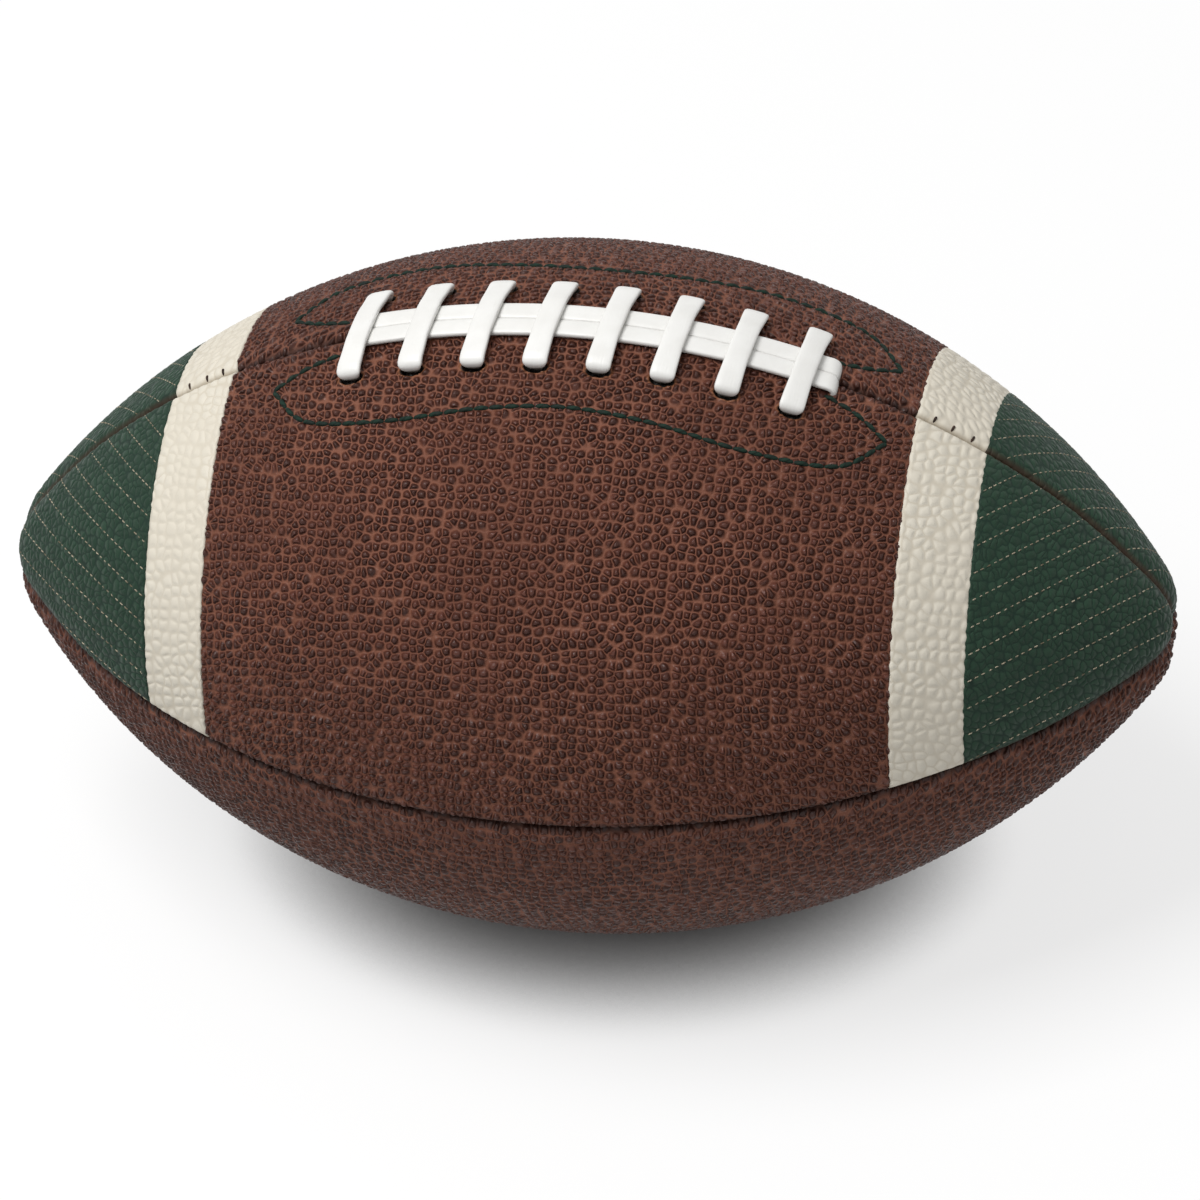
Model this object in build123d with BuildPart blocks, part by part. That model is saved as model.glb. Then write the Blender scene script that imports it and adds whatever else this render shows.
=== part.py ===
"""American football: four-panel leather cover, lined and laced over an inflated bladder.

X runs along the ball's long axis, Z points up through the lacing, and the origin is the ball's centre.
The cover has four panels that meet on the planes Y = 0 and Z = 0. The lacing lies on the upper seam.
All lengths are millimetres and all angles are degrees.
"""
from build123d import *
import math
import os

os.makedirs("parts", exist_ok=True)

# Overall form
half_length = 143.0
belly_radius = 84.0
nose_radius = 25.0

# Cover and lining
leather_thickness = 2.0
seam_allowance = 6.0
panel_edge_round = 1.7
tip_pit_radius = 3.0
tip_pit_depth = 2.4
glue_line = 0.05
lining_thickness = 0.8

# Stripes and end patches
stripe_start = 82.5
stripe_end = 98.6
patch_thickness = 0.7

# Grip stitching on the end patches: rows cut by leaning planes, counted out from the ball's centre
grip_row_count = 11
grip_row_pitch = 5.4
grip_first_front_row = 27.0
grip_first_back_row = 28.5
grip_front_lean_shares = (1, -1.05, -1.2)
grip_back_lean_shares = (1, -1.05, -0.5)
grip_thread_width = 0.5
grip_thread_proud = 0.2
grip_thread_sunk = 0.3
grip_seam_margin = 3.0
grip_stripe_margin = 0.8

# Seam thread
seam_thread_diameter = 0.8
seam_thread_depth = 4.4
seam_stitch_pitch = 6.0
seam_thread_reach = 124.0

# Lace
lace_shift = 3.5
bar_count = 8
bar_pitch = 15.0
bar_width = 5.4
lace_thickness = 1.6
lace_bend = 1.3
lace_clearance = 0.1
strand_width = 5.2
strand_spacing = 5.5
strand_end_offset = 59.5
strand_tip_depth = 3.4
bar_foot = 8.6
bar_shoulder = 5.1
lace_hole_offset = 13.6
lace_hole_clearance = 0.5
lace_run_width = 4.0
slit_margin = 3.0

# Lace facing, its outline stitching and the tongue
facing_thickness = 1.2
facing_half_length = 73.5
facing_width = 27.5
facing_seam_margin = 5.9
facing_hem = 3.0
facing_point_share = 0.46
facing_waist_share = 0.9
facing_shoulder_share = 0.87
facing_bulge_place_share = 0.57
facing_shoulder_place_share = 0.86
facing_inner_place_share = 0.79
facing_curl_along_share = 0.67
facing_curl_across_share = 0.75
stitch_pitch = 3.6
stitch_length = 3.0
stitch_diameter = 0.9
tongue_half_length = 70.0
tongue_half_width = 17.0
tongue_thickness = 1.0
layer_gap = 0.25

# Bladder
bladder_wall = 0.7

# Valve
valve_stem_radius = 4.0
valve_stem_length = 16.0
valve_recess = 0.6
valve_flange_radius = 13.0
valve_flange_thickness = 1.2
valve_hole_clearance = 0.2
valve_facing_radius = 19.0
valve_facing_thickness = 0.8
plug_radius = 2.6
plug_clearance = 0.05
plug_head_radius = 3.1
plug_head_thickness = 0.9
plug_length = 13.0
needle_radius = 1.25
needle_depth = 9.0
needle_lead_in = 0.5

# Room left past a surface by every cut
overrun = 12.0

# The long outline is one main arc between two nose arcs, all tangent
nose_centre = half_length - nose_radius
main_radius = (nose_centre**2 + belly_radius**2 - nose_radius**2) / (2 * (belly_radius - nose_radius))
main_centre = belly_radius - main_radius
join_angle = math.degrees(math.asin(nose_centre / (main_radius - nose_radius)))
outside = half_length + overrun

# Depths of the layers below the leather surface
lining_depth = leather_thickness + glue_line
facing_depth = lining_depth + lining_thickness + glue_line
run_depth = facing_depth + facing_thickness + layer_gap
run_middle = run_depth + lace_thickness / 2
tongue_depth = run_depth + lace_thickness + layer_gap
valve_facing_depth = facing_depth
bladder_depth = facing_depth + layer_gap
bladder_dent_lace = tongue_depth + tongue_thickness + layer_gap
bladder_dent_facing = facing_depth + facing_thickness + layer_gap
bladder_dent_seam = seam_allowance + layer_gap
bladder_dent_valve = valve_facing_depth + valve_facing_thickness + layer_gap
valve_flange_depth = bladder_dent_valve + bladder_wall + glue_line

quarters = {"upper_back": 0, "upper_front": 90, "lower_front": 180, "lower_back": 270}
lace_half_width = strand_spacing / 2 + strand_width / 2


def outline_point(angle, depth=0.0):
    """Distance along and from the long axis, at an angle of the main arc and a depth below it."""
    reach = main_radius - depth
    along = reach * math.sin(math.radians(angle))
    across = main_centre + reach * math.cos(math.radians(angle))
    return along, across


def outline_angle(along):
    """Angle of the main arc at a distance along the long axis."""
    return math.degrees(math.asin(along / main_radius))


def surface_point(along, across, lift=0.0):
    """Point of the upper surface over a place in plan, with its outward normal, raised by lift."""
    angle = outline_angle(along)
    radius = outline_point(angle)[1]
    turn = math.asin(across / radius)
    slope = math.radians(angle)
    normal = Vector(math.sin(slope), math.cos(slope) * math.sin(turn), math.cos(slope) * math.cos(turn))
    return Vector(along, across, radius * math.cos(turn)) + normal * lift, normal


def ball_form(depth, turn=360):
    """The ball as one solid, with its surface set in by depth, or the first part turn of it."""
    nose_turn = 90 - join_angle
    with BuildPart() as form:
        with BuildSketch():
            with BuildLine():
                CenterArc((nose_centre, 0), nose_radius - depth, 0, nose_turn)
                CenterArc((0, main_centre), main_radius - depth, nose_turn, 2 * join_angle)
                CenterArc((-nose_centre, 0), nose_radius - depth, 180 - nose_turn, nose_turn)
                Line((depth - half_length, 0), (half_length - depth, 0))
            make_face()
        revolve(axis=Axis.X, revolution_arc=turn)
    return form.part


def shell(depth, thickness):
    """A whole shell of the ball, from a depth inwards."""
    with BuildPart() as whole:
        add(ball_form(depth))
        add(ball_form(depth + thickness), mode=Mode.SUBTRACT)
    return whole.part


def slice_column(start, end):
    """A round column along the long axis that holds one slice of the ball."""
    with BuildPart() as column:
        with BuildSketch(Plane.YZ.offset(start)):
            Circle(outside)
        extrude(amount=end - start)
    return column.part


def skin_ring(start, end):
    """Everything in one slice of the ball that lies outside the seat of the stripes and patches."""
    with BuildPart() as ring:
        add(slice_column(start, end))
        add(ball_form(patch_thickness), mode=Mode.SUBTRACT)
    return ring.part


def write(piece, name):
    """Label a finished piece and write it under its own name."""
    piece.label = name
    export_step(piece, f"parts/{name}.step")


# Places of the lace bars along the main arc, and of their holes
bar_angles = [
    outline_angle(lace_shift + (number - (bar_count - 1) / 2) * bar_pitch) for number in range(bar_count)
]
strand_end_angles = [outline_angle(lace_shift + side * strand_end_offset) for side in (-1, 1)]


def bar_plane(angle):
    """Plane square to the lacing at an angle of the main arc: its x runs across, its y outwards."""
    along, across = outline_point(angle)
    slope = math.radians(angle)
    tangent = Vector(math.cos(slope), 0, -math.sin(slope))
    return Plane(origin=(along, 0, across), x_dir=(0, 1, 0), z_dir=tangent)


def girth_radius(angle):
    """Radius of the surface across the lacing at an angle of the main arc."""
    return outline_point(angle)[1] / math.cos(math.radians(angle))


def girth_point(angle, reach, lift):
    """Point on a bar plane at an arc length from the seam and a height above the leather."""
    radius = girth_radius(angle)
    turn = reach / radius
    return (radius + lift) * math.sin(turn), (radius + lift) * math.cos(turn) - radius


def hole_plane(angle, side):
    """Plane on the leather at a lace hole, with its x along the lacing and its normal outwards."""
    plane = bar_plane(angle)
    turn = side * lace_hole_offset / girth_radius(angle)
    across, up = girth_point(angle, side * lace_hole_offset, 0)
    origin = plane.from_local_coords((across, up, 0))
    normal = plane.y_dir * math.cos(turn) + plane.x_dir * math.sin(turn)
    return Plane(origin=origin, x_dir=plane.z_dir, z_dir=normal)


hole_planes = [hole_plane(angle, side) for angle in bar_angles for side in (-1, 1)]

# Tool for the lace holes and for the two ends of the slit where the strands go in
with BuildPart() as lace_cut:
    with BuildSketch(*hole_planes):
        SlotOverall(
            bar_width + 2 * lace_hole_clearance,
            lace_thickness + 2 * lace_hole_clearance,
        )
    extrude(amount=overrun, both=True)
    for angle in strand_end_angles:
        with BuildSketch(bar_plane(angle)):
            Rectangle(2 * (lace_half_width + lace_hole_clearance), 2 * overrun)
        extrude(amount=lace_thickness / 2 + lace_hole_clearance, both=True)

# Tool that leaves the edges of the slit plain, with nothing turned in under the lacing
slit_half_length = strand_end_offset + lace_run_width / 2 + slit_margin
with BuildPart() as slit_cut:
    with BuildSketch():
        with Locations((lace_shift, 0)):
            Rectangle(2 * slit_half_length, 2 * (leather_thickness + glue_line))
    extrude(amount=outside)
    add(ball_form(leather_thickness), mode=Mode.INTERSECT)

# Valve axis: out through the middle of the lower back panel
valve_direction = Vector(0, 1, -1).normalized()
valve_plane = Plane(origin=valve_direction * belly_radius, x_dir=(1, 0, 0), z_dir=valve_direction)


def valve_column(radius):
    """A round column along the valve's axis, from inside the ball to outside it."""
    with BuildPart() as column:
        with BuildSketch(valve_plane):
            Circle(radius)
        extrude(amount=overrun)
        with BuildSketch(valve_plane):
            Circle(radius)
        extrude(amount=-(valve_stem_length + overrun))
    return column.part


# Cover panel blank: a quarter of the shell with its two edges turned in along the seams
with BuildPart() as pocket:
    add(ball_form(leather_thickness))
    with Locations((0, leather_thickness, leather_thickness)):
        Box(2 * outside, outside, outside, align=(Align.CENTER, Align.MIN, Align.MIN), mode=Mode.INTERSECT)

with BuildPart() as panel_blank:
    add(ball_form(0, 90))
    add(ball_form(seam_allowance), mode=Mode.SUBTRACT)
    add(pocket.part, mode=Mode.SUBTRACT)
    for side in (-1, 1):
        with BuildSketch(Plane.YZ.offset(side * (half_length - tip_pit_depth))):
            Circle(tip_pit_radius)
        extrude(amount=side * overrun, mode=Mode.SUBTRACT)
    seam_edges = panel_blank.edges().filter_by(GeomType.CIRCLE).filter_by(
        lambda edge: min(abs(edge.radius - main_radius), abs(edge.radius - nose_radius)) < glue_line
    )
    fillet(seam_edges, radius=panel_edge_round)


def turned(piece, angle):
    """A copy of a piece turned about the long axis."""
    return piece.rotate(Axis.X, angle)


# Cover panels, stripes and end patches
stripe_rings = {
    "left": skin_ring(-stripe_end, -stripe_start),
    "right": skin_ring(stripe_start, stripe_end),
}
end_rings = {
    "left": skin_ring(-outside, -stripe_end),
    "right": skin_ring(stripe_end, outside),
}
for quarter, angle in quarters.items():
    level, face = quarter.split("_")
    blank = turned(panel_blank.part, angle)
    with BuildPart() as panel:
        add(blank)
        if level == "upper":
            add(lace_cut.part, mode=Mode.SUBTRACT)
            add(slit_cut.part, mode=Mode.SUBTRACT)
            for ring in [*stripe_rings.values(), *end_rings.values()]:
                add(ring, mode=Mode.SUBTRACT)
        if quarter == "lower_back":
            add(valve_column(valve_stem_radius + valve_hole_clearance), mode=Mode.SUBTRACT)
    write(panel.part, f"panel_{quarter}")
    if level == "upper":
        for end in ("left", "right"):
            with BuildPart() as stripe:
                add(blank)
                add(stripe_rings[end], mode=Mode.INTERSECT)
            write(stripe.part, f"stripe_{end}_{face}")
            with BuildPart() as end_patch:
                add(blank)
                add(end_rings[end], mode=Mode.INTERSECT)
            write(end_patch.part, f"end_patch_{end}_{face}")

# Linings, each inside the turned-in edges of its panel
lining_setback = leather_thickness + glue_line
with BuildPart() as lining_blank:
    add(shell(lining_depth, lining_thickness))
    with Locations((0, lining_setback, lining_setback)):
        Box(2 * outside, outside, outside, align=(Align.CENTER, Align.MIN, Align.MIN), mode=Mode.INTERSECT)
for quarter, angle in quarters.items():
    with BuildPart() as lining:
        add(turned(lining_blank.part, angle))
        if quarter.startswith("upper"):
            add(lace_cut.part, mode=Mode.SUBTRACT)
        if quarter == "lower_back":
            add(valve_column(valve_stem_radius + valve_hole_clearance), mode=Mode.SUBTRACT)
    write(lining.part, f"lining_{quarter}")

# Grip stitching: slanting rows of thread on each end patch, which rise towards the tip in front and fall behind
grip_start = stripe_end + grip_stripe_margin
grip_shell = shell(-grip_thread_proud, grip_thread_proud + grip_thread_sunk)
grip_faces = (
    ("front", -1, grip_first_front_row, grip_front_lean_shares),
    ("back", 1, grip_first_back_row, grip_back_lean_shares),
)
for end, end_side in (("left", -1), ("right", 1)):
    for face, face_side, first_row, lean_shares in grip_faces:
        lean = Vector(end_side * lean_shares[0], lean_shares[1], lean_shares[2]).normalized()
        row_planes = [
            Plane(origin=lean * (first_row + row * grip_row_pitch), z_dir=lean) for row in range(grip_row_count)
        ]
        with BuildPart() as grip_stitch:
            with BuildSketch(*row_planes):
                Rectangle(4 * outside, 4 * outside)
            extrude(amount=grip_thread_width / 2, both=True)
            add(grip_shell, mode=Mode.INTERSECT)
            corner = (end_side * (grip_start + outside / 2), face_side * (grip_seam_margin + outside / 2))
            with Locations((*corner, grip_seam_margin + outside / 2)):
                Box(outside, outside, outside, mode=Mode.INTERSECT)
        write(grip_stitch.part, f"grip_stitch_{end}_{face}")

# Lace: bars through their holes, strands along the slit, and the hidden runs that join them
def bar_points(angle):
    """Middle line of one bar on its plane, from one hole's inner end to the other's."""
    rest = lace_clearance + lace_thickness / 2
    crown = 2 * (lace_clearance + lace_thickness) - lace_thickness / 2
    half = [
        girth_point(angle, lace_hole_offset, -run_middle),
        girth_point(angle, lace_hole_offset, rest),
        girth_point(angle, bar_foot, rest),
        (bar_shoulder, crown),
    ]
    return [(-across, up) for across, up in half] + half[::-1]


lace_bars = []
for angle in bar_angles:
    with BuildPart() as bar:
        with BuildSketch(bar_plane(angle)):
            with BuildLine() as bar_path:
                FilletPolyline(*bar_points(angle), radius=lace_bend)
            trace(bar_path.line, line_width=lace_thickness)
        extrude(amount=bar_width / 2, both=True)
    lace_bars.append(bar.part)

lace_strands = []
for side, tip_end in ((-1, 1), (1, -1)):
    leg_depths = {end: run_middle if end != tip_end else strand_tip_depth for end in (-1, 1)}
    with BuildPart() as strand:
        with BuildSketch(Plane.XZ.offset(-side * strand_spacing / 2)):
            low = main_radius + lace_clearance
            high = low + lace_thickness
            with BuildLine():
                start = 90 - strand_end_angles[1]
                sweep_angle = strand_end_angles[1] - strand_end_angles[0]
                outer = CenterArc((0, main_centre), high, start, sweep_angle)
                inner = CenterArc((0, main_centre), low, start, sweep_angle)
                Line(outer @ 0, inner @ 0)
                Line(outer @ 1, inner @ 1)
            make_face()
            for end, end_angle in zip((-1, 1), strand_end_angles):
                leg = high - main_radius + leg_depths[end]
                slope = math.radians(end_angle)
                centre = high - leg / 2
                spot = (centre * math.sin(slope), main_centre + centre * math.cos(slope))
                with Locations(Location((*spot, 0), (0, 0, -end_angle))):
                    Rectangle(lace_thickness, leg)
        extrude(amount=strand_width / 2, both=True)
        bend_edges = strand.edges().filter_by(Axis.Y).sort_by(Axis.X)
        fillet([bend_edges[0], bend_edges[-1]], radius=lace_bend)
    lace_strands.append(strand.part)


def run_rectangle(corner, opposite):
    """One hidden run in plan, from the middle of one leg to the middle of another."""
    half = lace_run_width / 2
    low = (min(corner[0], opposite[0]) - half, min(corner[1], opposite[1]) - half)
    high = (max(corner[0], opposite[0]) + half, max(corner[1], opposite[1]) + half)
    with Locations(((low[0] + high[0]) / 2, (low[1] + high[1]) / 2)):
        Rectangle(high[0] - low[0], high[1] - low[1])


run_reach = girth_point(0, lace_hole_offset, -run_middle)[0]
leg_places = [outline_point(angle, run_middle)[0] for angle in bar_angles]
end_places = [outline_point(angle, run_middle)[0] for angle in strand_end_angles]
with BuildPart() as lace_runs:
    with BuildSketch():
        for number in range(bar_count - 1):
            side = 1 if number % 2 == 0 else -1
            run_rectangle((leg_places[number], side * run_reach), (leg_places[number + 1], side * run_reach))
        for end_place, leg_place, side in zip(end_places, (leg_places[0], leg_places[-1]), (-1, 1)):
            run_rectangle((end_place, side * strand_spacing / 2), (end_place, -run_reach))
            run_rectangle((end_place, -run_reach), (leg_place, -run_reach))
    extrude(amount=outside)
    add(shell(run_depth, lace_thickness), mode=Mode.INTERSECT)

with BuildPart() as lace:
    add(lace_bars)
    add(lace_strands)
    add(lace_runs.part)
write(lace.part, "lace")


# Lace facings and the stitching round them
def facing_line(side, hem=0.0):
    """Points of the facing's stitched edge in plan, from one end of the lacing round to the other."""
    half = facing_half_length + hem
    width = facing_width + hem
    inner = facing_seam_margin
    right = [
        (0, facing_waist_share * width),
        (facing_bulge_place_share * half, width),
        (facing_shoulder_place_share * half, facing_shoulder_share * width),
        (half, facing_point_share * width),
    ]
    back = (facing_inner_place_share * half, inner)
    left = [(-along, across) for along, across in right[:0:-1]]
    wave = [(lace_shift + along, side * across) for along, across in left + right]
    ends = [(lace_shift + turn * back[0], side * back[1]) for turn in (-1, 1)]
    return wave, ends


def facing_edge(side, hem=0.0):
    """The facing's edge: a wave between its two points, and a curve from each point to the lacing."""
    wave, ends = facing_line(side, hem)
    Spline(*wave)
    for point, end in zip((wave[0], wave[-1]), ends):
        curl_along = point[0] + facing_curl_along_share * (end[0] - point[0])
        curl_across = point[1] + facing_curl_across_share * (end[1] - point[1])
        Spline(point, (curl_along, curl_across), end)
    return ends


facing_shell = shell(facing_depth, facing_thickness)
for face, side in (("front", -1), ("back", 1)):
    with BuildPart() as lace_facing:
        with BuildSketch():
            with BuildLine():
                ends = facing_edge(side, facing_hem)
                Line(*ends)
            make_face()
        extrude(amount=outside)
        add(facing_shell, mode=Mode.INTERSECT)
        add(lace_cut.part, mode=Mode.SUBTRACT)
    write(lace_facing.part, f"lace_facing_{face}")

    with BuildLine() as stitch_line:
        facing_edge(side)
    stitch_planes = []
    for edge in stitch_line.edges():
        count = round(edge.length / stitch_pitch)
        for number in range(count):
            spot = edge @ ((number + 1 / 2) / count)
            heading = edge % ((number + 1 / 2) / count)
            place, normal = surface_point(spot.X, spot.Y)
            along = heading - normal * heading.dot(normal)
            stitch_planes.append(Plane(origin=place, x_dir=normal, z_dir=along))
    with BuildPart() as facing_stitch:
        with BuildSketch(*stitch_planes):
            Circle(stitch_diameter / 2)
        extrude(amount=stitch_length / 2, both=True)
    write(facing_stitch.part, f"facing_stitch_{face}")

# Lace tongue
with BuildPart() as lace_tongue:
    with BuildSketch():
        with Locations((lace_shift, 0)):
            SlotOverall(2 * tongue_half_length, 2 * tongue_half_width)
    extrude(amount=outside)
    add(shell(tongue_depth, tongue_thickness), mode=Mode.INTERSECT)
write(lace_tongue.part, "lace_tongue")


# Bladder: a closed skin that gives way to the lacing, the seams and the valve facing
def dented_form(inset):
    """The bladder's surface, set in by inset, with the dents of what it presses on."""
    seam_room = leather_thickness + seam_thread_diameter + layer_gap + inset
    with BuildPart() as lace_dent:
        with BuildSketch():
            with Locations((lace_shift, 0)):
                SlotOverall(
                    2 * (tongue_half_length + layer_gap + inset),
                    2 * (tongue_half_width + layer_gap + inset),
                )
        extrude(amount=outside)
        add(ball_form(bladder_dent_lace + inset), mode=Mode.SUBTRACT)
    with BuildPart() as facing_dent:
        with BuildSketch():
            with Locations((lace_shift, 0)):
                Rectangle(
                    2 * (facing_half_length + facing_hem + layer_gap + inset),
                    2 * (facing_width + facing_hem + layer_gap + inset),
                )
        extrude(amount=outside)
        add(ball_form(bladder_dent_facing + inset), mode=Mode.SUBTRACT)
    with BuildPart() as seam_dent:
        Box(2 * outside, 2 * seam_room, 2 * outside)
        Box(2 * outside, 2 * outside, 2 * seam_room)
        add(ball_form(bladder_dent_seam + inset), mode=Mode.SUBTRACT)
    with BuildPart() as valve_dent:
        add(valve_column(valve_facing_radius + layer_gap + inset))
        add(ball_form(bladder_dent_valve + inset), mode=Mode.SUBTRACT)
    with BuildPart() as form:
        add(ball_form(bladder_depth + inset))
        for dent in (lace_dent, facing_dent, seam_dent, valve_dent):
            add(dent.part, mode=Mode.SUBTRACT)
    return form.part


with BuildPart() as bladder:
    add(dented_form(0))
    add(dented_form(bladder_wall), mode=Mode.SUBTRACT)
    add(valve_column(valve_stem_radius + glue_line), mode=Mode.SUBTRACT)
write(bladder.part, "bladder")

# Valve facing, housing and plug
with BuildPart() as valve_facing:
    add(valve_column(valve_facing_radius))
    add(shell(valve_facing_depth, valve_facing_thickness), mode=Mode.INTERSECT)
    add(valve_column(valve_stem_radius + valve_hole_clearance), mode=Mode.SUBTRACT)
write(valve_facing.part, "valve_facing")

with BuildPart() as valve_housing:
    add(valve_column(valve_flange_radius))
    add(shell(valve_flange_depth, valve_flange_thickness), mode=Mode.INTERSECT)
    with BuildSketch(valve_plane.offset(-valve_recess)):
        Circle(valve_stem_radius)
    extrude(amount=valve_recess - valve_stem_length)
    add(valve_column(plug_radius + plug_clearance), mode=Mode.SUBTRACT)
    with BuildSketch(valve_plane.offset(-valve_recess)):
        Circle(plug_head_radius + plug_clearance)
    extrude(amount=-(plug_head_thickness + plug_clearance), mode=Mode.SUBTRACT)
write(valve_housing.part, "valve_housing")

with BuildPart() as valve_plug:
    with BuildSketch(valve_plane.offset(-valve_recess)):
        Circle(plug_head_radius)
    extrude(amount=-plug_head_thickness)
    with BuildSketch(valve_plane.offset(-valve_recess)):
        Circle(plug_radius)
    extrude(amount=-plug_length)
    with BuildSketch(valve_plane.offset(-valve_recess)):
        Circle(needle_radius)
    extrude(amount=-needle_depth, mode=Mode.SUBTRACT)
    mouth = valve_plug.edges().filter_by(
        lambda edge: edge.geom_type == GeomType.CIRCLE and abs(edge.radius - needle_radius) < glue_line
    )
    chamfer(mouth.sort_by(Axis((0, 0, 0), valve_direction))[-1], length=needle_lead_in)
write(valve_plug.part, "valve_plug")


# Seam threads: a row of thread along each side of the turned-in edges, with stitches through both
def seam_thread(leaves_slit):
    """Thread of one seam, as it lies at the top of the ball, with or without the gap at the slit."""
    reach = leather_thickness + seam_thread_diameter
    slit_reach = slit_half_length + seam_stitch_pitch / 2
    last_angle = outline_angle(seam_thread_reach)
    seam_length = 2 * math.radians(last_angle) * (main_radius - seam_thread_depth)
    stitch_count = round(seam_length / seam_stitch_pitch)
    spots = []
    for number in range(stitch_count + 1):
        spot = outline_point(last_angle * (2 * number / stitch_count - 1), seam_thread_depth)
        if not leaves_slit or abs(spot[0] - lace_shift) > slit_reach:
            spots.append(spot)
    with BuildPart() as thread:
        with BuildSketch():
            with Locations([(0, side * (reach - seam_thread_diameter / 2)) for side in (-1, 1)]):
                Rectangle(2 * seam_thread_reach, seam_thread_diameter)
            if leaves_slit:
                with Locations((lace_shift, 0)):
                    Rectangle(2 * slit_reach, 2 * outside, mode=Mode.SUBTRACT)
        extrude(amount=outside)
        add(shell(seam_thread_depth - seam_thread_diameter / 2, seam_thread_diameter), mode=Mode.INTERSECT)
        with BuildSketch(Plane.XZ):
            with Locations(spots):
                Circle(seam_thread_diameter / 2)
        extrude(amount=reach, both=True)
    return thread.part


for seam, angle in (("top", 0), ("front", 90), ("bottom", 180), ("back", 270)):
    write(turned(seam_thread(seam == "top"), angle), f"seam_thread_{seam}")
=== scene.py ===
import math

import bpy
import numpy as np
from mathutils import Matrix, Vector


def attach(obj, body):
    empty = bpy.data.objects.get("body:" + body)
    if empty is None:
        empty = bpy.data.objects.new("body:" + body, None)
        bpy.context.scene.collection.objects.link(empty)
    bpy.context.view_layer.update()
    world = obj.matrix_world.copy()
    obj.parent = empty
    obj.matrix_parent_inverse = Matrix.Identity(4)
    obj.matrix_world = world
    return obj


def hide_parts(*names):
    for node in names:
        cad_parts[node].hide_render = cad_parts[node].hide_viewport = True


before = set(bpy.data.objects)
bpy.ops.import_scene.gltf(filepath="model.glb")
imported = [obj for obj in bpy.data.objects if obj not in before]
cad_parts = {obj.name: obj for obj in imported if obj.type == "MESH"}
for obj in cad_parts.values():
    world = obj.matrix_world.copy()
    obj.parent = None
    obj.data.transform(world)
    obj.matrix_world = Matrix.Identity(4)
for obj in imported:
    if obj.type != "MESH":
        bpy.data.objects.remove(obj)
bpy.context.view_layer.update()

# All lengths below are millimetres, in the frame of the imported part; MM turns them into metres.
# A value named ramp is the pair between which a smooth ramp runs.
MM = 0.001

# Form of the ball: a main arc between two nose arcs, all tangent
HALF_LENGTH = 143.0
BELLY_RADIUS = 84.0
NOSE_RADIUS = 25.0
NOSE_CENTRE = HALF_LENGTH - NOSE_RADIUS
MAIN_RADIUS = (NOSE_CENTRE**2 + BELLY_RADIUS**2 - NOSE_RADIUS**2) / (2 * (BELLY_RADIUS - NOSE_RADIUS))
MAIN_CENTRE = BELLY_RADIUS - MAIN_RADIUS
JOIN_ANGLE = math.asin(NOSE_CENTRE / (MAIN_RADIUS - NOSE_RADIUS))
JOIN_LENGTH = MAIN_RADIUS * JOIN_ANGLE
TIP_LENGTH = JOIN_LENGTH + NOSE_RADIUS * (math.pi / 2 - JOIN_ANGLE)

# First seam of each panel, as an angle from the lacing towards the front
QUARTERS = {"upper_front": 0, "lower_front": 90, "lower_back": 180, "upper_back": 270}

# Direction of each end along the ball, and of each face across it
ENDS = {"left": -1, "right": 1}
FACES = {"front": -1, "back": 1}

# Cover: the stripes, and how the skins lie over each other
STRIPE_START = 82.5
STRIPE_END = 98.6
STRIPE_LIFT = 0.1
PATCH_LIFT = 0.16
TUCK = 1.6
TUCK_DEPTH = 0.6
TUCK_RAMP = (0.2, 2.6)
EDGE_STEP = 0.02

# Cover: the waves of a painted edge, each with its height, its angle across a panel and its share of phase
EDGE_WAVES = ((0.1, 131, 1), (0.08, 217, 2))

# Cover: the roll of the panels into their seams and at the tips, and the grain near the seams
SEAM_ROLL_WIDTH = 2.6
SEAM_ROLL_DEPTH = 2.4
TIP_ROLL_WIDTH = 8.5
TIP_ROLL_DEPTH = 1.9
TIP_ROLL_START = 116.0
TIP_GAP = 0.35
SEAM_STRETCH_REACH = 6.0
SEAM_STRETCH = 0.8
SEAM_SMOOTH_RAMP = (0.2, 1.6)

# Cover: rows along and columns across each kind of skin, with columns closer together at the seams
LOWER_GRID = (560, 176)
UPPER_GRID = (360, 262)
STRIPE_GRID = (46, 230)
PATCH_GRID = (170, 210)
EDGE_CLUSTER = 0.35

# Lace holes; their ramps are in shares of a hole's size
HOLE_REACH = 13.6
HOLE_OUTWARDS = 0.35
HOLE_HALF_WIDTH = 2.9
HOLE_HALF_HEIGHT = 1.75
HOLE_DEPTH = 1.4
HOLE_WALL_RAMP = (0.7, 1.05)
HOLE_DIMPLE = 0.45
HOLE_DIMPLE_REACH = 1.6
HOLE_SHADE_RAMP = (0.75, 1.45)

# Lace
LACE_SHIFT = 3.5
LACE_THICKNESS = 1.7
LACE_CLEARANCE = 0.1
LACE_REST = LACE_CLEARANCE + LACE_THICKNESS / 2
LACE_CROWN = 2 * LACE_THICKNESS + LACE_CLEARANCE - LACE_THICKNESS / 2
LACE_SIDES = 24
LACE_SQUARENESS = 3.4

# Crossbars; the pinch and swell are where a bar goes into a hole
BAR_COUNT = 8
BAR_PITCH = 15.0
BAR_SLANT = 1.3
BAR_WIDTH = 5.5
BAR_FLARE = 0.5
BAR_PINCH = 0.45
BAR_SWELL = 0.12
BAR_PINCH_RAMP = (-1.5, LACE_REST + 0.5)
# Painted shade on a bar as it dips under the leather into its hole, by its lift
BAR_BURIED_SHADE_RAMP = (-0.6, 0.9)
BAR_ROUNDS = 4
BAR_AHEAD = 0.5

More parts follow.
